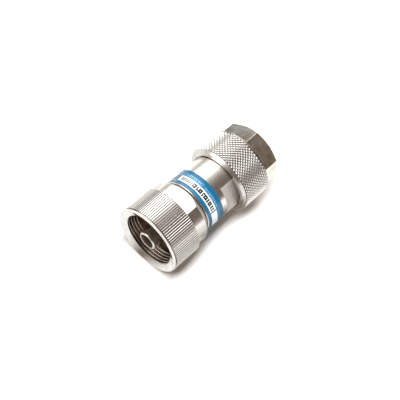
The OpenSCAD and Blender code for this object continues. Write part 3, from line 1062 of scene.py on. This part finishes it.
# %% Label: inks and helpers
BLUE = (0.005, 0.108, 0.22, 1.0)
LIGHT_BLUE = (0.02, 0.15, 0.29, 1.0)
SKY_BLUE = (0.045, 0.22, 0.39, 1.0)
PALE = (0.19, 0.40, 0.53, 1.0)
WHITE = (0.80, 0.83, 0.84, 1.0)
INK = (0.03, 0.03, 0.035, 1.0)
FADED_INK = (0.22, 0.20, 0.16, 1.0)
MARK_SPREAD = 0.4

film, film_tree, film_shader = new_material("Label film")
wrap = place(film_tree, "ShaderNodeUVMap", uv_map="wrap").outputs[0]
film_uv = place(film_tree, "ShaderNodeSeparateXYZ", {0: wrap}).outputs
film_u = maths(film_tree, "MULTIPLY", maths(film_tree, "SUBTRACT", film_uv["X"], 0.5), 360.0)
film_v = film_uv["Y"]


def printed(under, colour, turns, widths, within=1.0):
    """Prints a box of colour over what is already there."""
    field = place(film_tree, "ShaderNodeGroup", {
        "U": film_u, "U low": turns[0], "U high": turns[1],
        "V": film_v, "V low": widths[0], "V high": widths[1],
    }, node_tree=fields)
    mask = maths(film_tree, "MULTIPLY", field.outputs["Mask"], within)
    return blend(film_tree, mask, under, colour)


def marks_row(period, share, seed):
    """A row of marks of different widths, one in each step round the film."""
    steps = maths(film_tree, "DIVIDE", film_u, period)
    cell = maths(film_tree, "FLOOR", steps)
    along = maths(film_tree, "FRACT", steps)
    chance = place(film_tree, "ShaderNodeTexWhiteNoise", {
        "W": maths(film_tree, "ADD", cell, seed),
    }, noise_dimensions="1D").outputs["Value"]
    width = maths(film_tree, "MULTIPLY_ADD", chance, MARK_SPREAD, share)
    return maths(film_tree, "LESS_THAN", along, width)


print("material:", film.name)

# %% [markdown]
# ## The label's print
# The print has blue bands with pale lines between them, a lighter field with a row of pale marks,
# and a white strip with a row of dark ones. Later fields lie over earlier ones, so their order is
# the order of the inks. A clear coat over all of it gives the film its gloss.

# %% Label: print
ALL_ROUND = (-180, 180)
DARK_MARKS = (-25, 38)
STRIP = (0.20, 0.57)

# The rear band, with its lighter field and pale marks
colour = printed(BLUE, LIGHT_BLUE, ALL_ROUND, (0.60, 0.76))
colour = printed(colour, SKY_BLUE, (-56, -9), (0.585, 0.80))
colour = printed(colour, PALE, (-53, -12), (0.63, 0.77), marks_row(5.6, 0.35, 21.0))
colour = printed(colour, PALE, (-5, 36), (0.63, 0.72), marks_row(4.2, 0.25, 11.0))
colour = printed(colour, BLUE, (-9, -7.5), (0.585, 0.86))
# The front band, with a pale line, and a light stripe on one side that is a painted sheen
colour = printed(colour, PALE, ALL_ROUND, (0.185, 0.20))
colour = printed(colour, SKY_BLUE, (-70, 5), (0.05, 0.09))
# The white strip, with its end lines and dark marks
colour = printed(colour, WHITE, (-60, 78), STRIP)
for end_line in ((-63, -59.5), (40, 43)):
    colour = printed(colour, INK, end_line, STRIP)
colour = printed(colour, FADED_INK, (-53, -25), (0.27, 0.49), marks_row(4.8, 0.45, 3.0))
colour = printed(colour, INK, DARK_MARKS, (0.26, 0.50), marks_row(4.9, 0.38, 4.0))
for widths, seed in (((0.26, 0.36), 8.0), ((0.40, 0.50), 6.0)):
    colour = printed(colour, INK, DARK_MARKS, widths, marks_row(7.3, 0.25, seed))
colour = printed(colour, PALE, ALL_ROUND, (0.57, 0.585))
film_tree.links.new(colour, film_shader["Base Color"])
film_shader["Roughness"].default_value = 0.5
film_shader["Specular IOR Level"].default_value = 0.1
film_shader["Coat Weight"].default_value = 1.0
film_shader["Coat Roughness"].default_value = 0.14
print("label film has", len(film_tree.nodes), "nodes")

# %% [markdown]
# ## The label's film
# The film is a thin ring on the body. Its map could be unwrapped by Blender, but on a ring a
# formula is exact: the angle gives U and the height gives V. The seam lies at the back.

# %% Label
FILM_GAP = 0.01

label_inner_r = body_r + FILM_GAP
label = lathe("label_film", [
    (label_inner_r, label_low_z),
    (label_r, label_low_z),
    (label_r, label_high_z),
    (label_inner_r, label_high_z),
], film)
uv_layer = label.data.uv_layers.new(name="wrap")
for face in label.data.polygons:
    # A corner is measured from the middle of its face, so that no face spans the seam
    middle_turn = math.degrees(math.atan2(face.center.y, face.center.x))
    middle_round = (90 - middle_turn) % 360
    for corner in face.loop_indices:
        point = label.data.vertices[label.data.loops[corner].vertex_index].co
        step = (math.degrees(math.atan2(point.y, point.x)) - middle_turn + 180) % 360 - 180
        down_film = (label_high_z - point.z / MM) / (label_high_z - label_low_z)
        uv_layer.data[corner].uv = ((middle_round - step) / 360, down_film)
print("label:", len(label.data.polygons), "faces")

# %% [markdown]
# ## The beads' plastic
# The beads that centre the conductor are a pale plastic. A plain colour would do, but a slow noise
# between two close tones gives the faint mottle that moulded plastic has.

# %% Bead plastic
BEAD_PLASTIC = (0.80, 0.77, 0.68, 1.0)
PALE_PLASTIC = (0.88, 0.86, 0.79, 1.0)
MOTTLE_PER_M = 900.0

plastic, plastic_tree, plastic_shader = new_material("Bead plastic")
mottle = place(plastic_tree, "ShaderNodeTexNoise", {
    "Vector": object_spot(plastic_tree), "Scale": MOTTLE_PER_M, "Detail": 3.0,
}).outputs["Fac"]
mottled = blend(plastic_tree, mottle, BEAD_PLASTIC, PALE_PLASTIC)
plastic_tree.links.new(mottled, plastic_shader["Base Color"])
plastic_shader["Roughness"].default_value = 0.5
print("material:", plastic.name)

# %% [markdown]
# ## Pieces that keep their CAD shape
# The contact, the beads, the conductor and the split rings sit inside and are simple, so their
# solids stay as they are. They only get their finish: gold for what carries the signal, with the
# contact deep in the barrel painted a darker gold as painted shade, steel for the rings, and
# plastic for the beads.

# %% Finishes of the inside pieces
inside_finish = {
    "front_contact": shaded_gold, "centre_conductor": gold, "front_bead": plastic, "rear_bead": plastic,
    "front_retaining_ring": steel, "rear_retaining_ring": steel,
}
for node, material in inside_finish.items():
    solid = frame["nodes"][node]
    solid.data.materials.clear()
    solid.data.materials.append(material)
print("finished inside:", ", ".join(inside_finish))

# %% [markdown]
# ## Riding on the bodies
# Each nut turns about the axis, so its shell and everything on it ride on the nut's own body. The
# rest rides on the adapter's body. A piece that stands for a CAD node hides that node.

# %% Rides
rides = {
    "front_nut": [(front_shell, "front_coupling_nut"), (front_ridges, None), (front_thread, None)],
    "rear_nut": [(rear_shell, "rear_coupling_nut"), (rear_diamonds, None), (rear_thread, None)],
    "body": [(body, "main_body"), (label, "label"), (barrel, "front_barrel"),
             (sleeve, "rear_sleeve"), (pin, "rear_pin")],
}
for body_name, members in rides.items():
    for piece, node in members:
        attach(piece, body_name)
        if node:
            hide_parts(node)
print("pieces:", sum(len(members) for members in rides.values()))

# %% [markdown]
# ## The camera
# The adapter lies on a white table in the picture, seen from above and from the mouth's side. The
# frame keeps it upright, so the camera is rolled instead of the object. Its three axes come
# from the height above the horizon and the roll.

# %% Camera
ELEVATION = math.radians(25.19)
ROLL = math.radians(229.457)
DISTANCE = 340.0
PIXELS_PER_MM = 3.478
IMAGE_WIDTH = 400
AIM_HEIGHT = 22.65
AIM_RIGHT = -0.332
AIM_UP = -1.488

to_camera = Vector((0, -math.cos(ELEVATION), math.sin(ELEVATION)))
level_right = Vector((1, 0, 0))
level_up = to_camera.cross(level_right)
right = math.cos(ROLL) * level_right + math.sin(ROLL) * level_up
up = -math.sin(ROLL) * level_right + math.cos(ROLL) * level_up
aim = Vector((0, 0, AIM_HEIGHT)) + AIM_RIGHT * right + AIM_UP * up

camera_data = bpy.data.cameras.new("camera")
camera_data.lens = PIXELS_PER_MM * DISTANCE * camera_data.sensor_width / IMAGE_WIDTH
camera_data.clip_start = 10 * MM
camera = bpy.data.objects.new("camera", camera_data)
pose = Matrix((right, up, to_camera)).transposed().to_4x4()
pose.translation = (aim + DISTANCE * to_camera) * MM
camera.matrix_world = pose
bpy.context.scene.collection.objects.link(camera)
bpy.context.scene.camera = camera
print(f"lens {camera_data.lens:.1f} mm")

# %% [markdown]
# ## The table
# The adapter lies on its two nuts, so the table is a plane that touches both. In the upright frame
# that plane stands on edge, and its up is a direction away from the axis.

# %% Table: plane
TABLE_TURN = -67.3
TABLE_SIZE = 1.2


def square(name, middle, one_way, other_way, size):
    """A flat square mesh, in metres."""
    signs = ((-1, -1), (1, -1), (1, 1), (-1, 1))
    mesh = bpy.data.meshes.new(name)
    corners = [middle + (one_way * a + other_way * b) * size / 2 for a, b in signs]
    mesh.from_pydata(corners, [], [(0, 1, 2, 3)])
    return mesh


table_up = facing(TABLE_TURN)
table_side = Vector((table_up.y, -table_up.x, 0))
along = Vector((0, 0, 1))
touch = -table_up * nut_r * MM + along * mouth_z / 2 * MM
table_mesh = square("table", touch, table_side, along, TABLE_SIZE)
if table_mesh.polygons[0].normal.dot(table_up) < 0:
    table_mesh.flip_normals()
print("table stands", round(touch.length / MM, 1), "mm from the origin")

# %% [markdown]
# ## The table's paint
# The table is white. Where metal is close above it, an Ambient Occlusion node paints a brown
# contact shadow over the white, a painted shade on top of the lamp's real shadow. The table's back
# will be see-through, so that it hides nothing in other views.

# %% Table: paint
TABLE_WHITE = (0.92, 0.91, 0.90, 1.0)
TABLE_SHADE = (0.70, 0.55, 0.43, 1.0)
SHADE_REACH = 8.0
SHADE_FULL = 0.15
SHADE_GONE = 0.6

table_paint = bpy.data.materials.new("Table")
paint = empty_tree(table_paint)
nearness = place(paint, "ShaderNodeAmbientOcclusion", {"Distance": SHADE_REACH * MM}, samples=16)
openness = ramp_mask(paint, nearness.outputs["AO"], SHADE_FULL, SHADE_GONE)
lit = place(paint, "ShaderNodeBsdfDiffuse", {
    "Color": blend(paint, openness, TABLE_SHADE, TABLE_WHITE),
})
clear = place(paint, "ShaderNodeBsdfTransparent")
print("shade reaches", SHADE_REACH, "mm")

# %% [markdown]
# ## The table in the metal
# The metal mirrors the table, and these reflections shape it in the picture. They see two plain
# tones instead of the lit paint: a shade round the adapter, and a bright table past soft borders
# that are set by distance. Beside the plug's end the bright tone is stronger.

# %% Table: mirrored tones
MIRRORED_SHADE = (0.27, 0.235, 0.20, 1.0)
MIRRORED_TABLE = (1.08, 1.07, 1.05, 1.0)
REAR_GLOW = 0.3
# Borders in millimetres, from where the tone is shaded to where it is bright: those with Z are
# heights along the axis, and the others are distances to the right of it in the picture
PAST_MOUTH_Z = (44.0, 46.0)
MOUTH_RIGHT = (-2.5, 3.5)
MOUTH_LEFT = (-4.5, -7.5)
FRONT_NUT_Z = (26.0, 29.0)
FRONT_NUT_RIGHT = (10.0, 16.0)
FAR_RIGHT = (11.0, 32.0)
FAR_LEFT = (-4.0, -7.5)
REAR_NUT_Z = (16.0, 8.0)
GLOW_Z = (12.0, 4.0)

table_spot = object_spot(paint)
across = reach_along(paint, table_spot, table_side / MM)
height = reach_along(paint, table_spot, along / MM)


def past(distance, border):
    """A mask on the table: 0 on the shaded side of a border, 1 on the bright side."""
    return ramp_mask(paint, distance, *border)


beside_mouth = maths(paint, "MAXIMUM", past(across, MOUTH_RIGHT), past(across, MOUTH_LEFT))
open_share = maths(paint, "MINIMUM", past(height, PAST_MOUTH_Z), beside_mouth)
beside_nut = maths(paint, "MINIMUM", past(height, FRONT_NUT_Z), past(across, FRONT_NUT_RIGHT))
far_off = [past(across, FAR_RIGHT), past(across, FAR_LEFT), past(height, REAR_NUT_Z)]
for mask in (beside_nut, *far_off):
    open_share = maths(paint, "MAXIMUM", open_share, mask)
tone = blend(paint, open_share, MIRRORED_SHADE, MIRRORED_TABLE)
glow = maths(paint, "MULTIPLY_ADD", past(height, GLOW_Z), REAR_GLOW, 1.0)
mirrored_tone = place(paint, "ShaderNodeEmission", {"Color": tone, "Strength": glow})
in_mirror = place(paint, "ShaderNodeLightPath").outputs["Is Glossy Ray"]
from_behind = place(paint, "ShaderNodeNewGeometry").outputs["Backfacing"]
one_sided = either(paint, from_behind, either(paint, in_mirror, lit, mirrored_tone), clear)
place(paint, "ShaderNodeOutputMaterial", {"Surface": one_sided.outputs[0]})
table = new_piece("table", table_mesh, table_paint)
print("table paint has", len(paint.nodes), "nodes")

# %% [markdown]
# ## The room
# Polished metal shows the room more than the lamp. The room here is a ring of light round the
# adapter's axis: a wide white softbox above and to the left, a dark brown gap towards the
# viewer, and pale walls, with a dusky end beyond the mouth. Only direct reflections see it. A
# second ring, dim but for a band on the right, fills the shadows. Real lamps and cards could do
# the same, but tones at angles are easier to match to a picture.

# %% Room: tones
# Tones at angles round the axis, in degrees from the table's up; the viewer's side is positive
ROOM = {
    -180: (0.75, 0.75, 0.74),
    -105: (0.75, 0.74, 0.72),
    -90: (0.72, 0.71, 0.69),
    -82: (0.70, 0.69, 0.67),
    -70: (0.95, 0.94, 0.92),
    -60: (2.40, 2.40, 2.40),
    -17: (2.40, 2.40, 2.40),
    -8: (0.95, 0.93, 0.90),
    8: (0.48, 0.44, 0.41),
    22: (0.28, 0.24, 0.21),
    36: (0.20, 0.165, 0.14),
    74: (0.19, 0.155, 0.125),
    84: (0.34, 0.31, 0.28),
    96: (0.80, 0.79, 0.78),
    180: (0.75, 0.75, 0.74),
}
FILL = {
    -180: (0.06, 0.038, 0.018),
    40: (0.06, 0.038, 0.018),
    62: (0.75, 0.72, 0.70),
    86: (0.75, 0.72, 0.70),
    100: (0.06, 0.038, 0.018),
    180: (0.06, 0.038, 0.018),
}
print("room tones:", len(ROOM), "seen and", len(FILL), "for the fill")

# %% [markdown]
# ## The room as a world
# A world is a shader too. The angle of a direction about the axis picks a colour from a Color Ramp,
# and a Light Path node tells who looks: the camera gets plain white, a direct reflection gets the
# room, and everything else gets the fill.

# %% Room: world
DUSK = (0.26, 0.235, 0.21, 1.0)
DUSK_STARTS = 0.80
DUSK_FULL = 0.93
WHITE_AIR = (1.0, 1.0, 1.0, 1.0)

world = bpy.data.worlds.new("room")
bpy.context.scene.world = world
room = empty_tree(world)
direction = place(room, "ShaderNodeTexCoord").outputs["Generated"]
upwards = reach_along(room, direction, table_up)
sideways = reach_along(room, direction, table_side)
turn = maths(room, "ARCTAN2", sideways, upwards)
share = maths(room, "MULTIPLY_ADD", turn, 1 / math.tau, 0.5)


def ring_of_light(tones):
    """A background whose colour changes with the angle from the table's up, in degrees."""
    ramp = place(room, "ShaderNodeValToRGB", {0: share})
    stops = ramp.color_ramp.elements
    while len(stops) < len(tones):
        stops.new(0.5)
    for stop, (degrees, tone) in zip(stops, tones.items()):
        stop.position = degrees / 360 + 0.5
        stop.color = (*tone, 1.0)
    return place(room, "ShaderNodeBackground", {"Color": ramp.outputs["Color"]})


beyond_mouth = ramp_mask(room, reach_along(room, direction, along), DUSK_STARTS, DUSK_FULL)
dusk = place(room, "ShaderNodeBackground", {"Color": DUSK})
walls = either(room, beyond_mouth, ring_of_light(ROOM), dusk)
white = place(room, "ShaderNodeBackground", {"Color": WHITE_AIR})
path = place(room, "ShaderNodeLightPath").outputs
no_bounce = maths(room, "LESS_THAN", path["Diffuse Depth"], 0.5)
direct_mirror = maths(room, "MULTIPLY", path["Is Glossy Ray"], no_bounce)
seen = either(room, direct_mirror, ring_of_light(FILL), walls)
seen = either(room, path["Is Camera Ray"], seen, white)
place(room, "ShaderNodeOutputWorld", {"Surface": seen.outputs[0]})
print("world has", len(room.nodes), "nodes")

# %% [markdown]
# ## A grey card
# Photographers stand a card where a shiny face would mirror a lamp. The view direction, mirrored
# in the hexagon's left face, says where the card has to be. Only reflections see it.

# %% Card
CARD_DISTANCE = 45.0
CARD_SIZE = 22.0
CARD_TONE = (0.275, 0.285, 0.272, 1.0)

face_out = facing(HEX_TURN + 360 / HEX_SIDES)
face_middle = face_out * HEX_FLAT + along * (rear_end_z + HEX_LEN / 2)
mirrored = 2 * to_camera.dot(face_out) * face_out - to_camera
card_middle = face_middle + mirrored * CARD_DISTANCE
card_ways = mirrored.to_track_quat("Z", "Y").to_matrix().col
card_mesh = square("card", card_middle * MM, card_ways[0], card_ways[1], CARD_SIZE * MM)
card_paper = bpy.data.materials.new("Card")
paper = empty_tree(card_paper)
card_tone = place(paper, "ShaderNodeEmission", {"Color": CARD_TONE})
place(paper, "ShaderNodeOutputMaterial", {"Surface": card_tone.outputs[0]})
card = new_piece("card", card_mesh, card_paper)
card.visible_camera = False
card.visible_diffuse = False
card.visible_shadow = False
print("card stands at", [round(v, 1) for v in card_middle])

# %% [markdown]
# ## The lamp
# One long soft lamp hangs almost straight above the adapter, along its axis. It gives the soft
# shadow on the table. Reflections already see the softbox in the room, so the lamp itself is
# kept out of them.

# %% Lamp
LAMP_DISTANCE = 0.5
LAMP_WIDTH = 0.18
LAMP_LENGTH = 0.6
LAMP_WATTS = 5.0
LAMP_RIGHT = 0.05
LAMP_TO_MOUTH = 0.14

lamp_from = (table_up + LAMP_RIGHT * table_side + LAMP_TO_MOUTH * along).normalized()
lamp_data = bpy.data.lights.new("softbox", "AREA")
lamp_data.shape = "RECTANGLE"
lamp_data.size = LAMP_WIDTH
lamp_data.size_y = LAMP_LENGTH
lamp_data.energy = LAMP_WATTS
lamp = bpy.data.objects.new("softbox", lamp_data)
lamp.location = Vector((0, 0, mouth_z / 2 * MM)) + lamp_from * LAMP_DISTANCE
lamp.rotation_euler = lamp_from.to_track_quat("Z", "Y").to_euler()
lamp.visible_glossy = False
bpy.context.scene.collection.objects.link(lamp)
bpy.context.scene.view_settings.view_transform = "Standard"
print("lamp", LAMP_WATTS, "W")
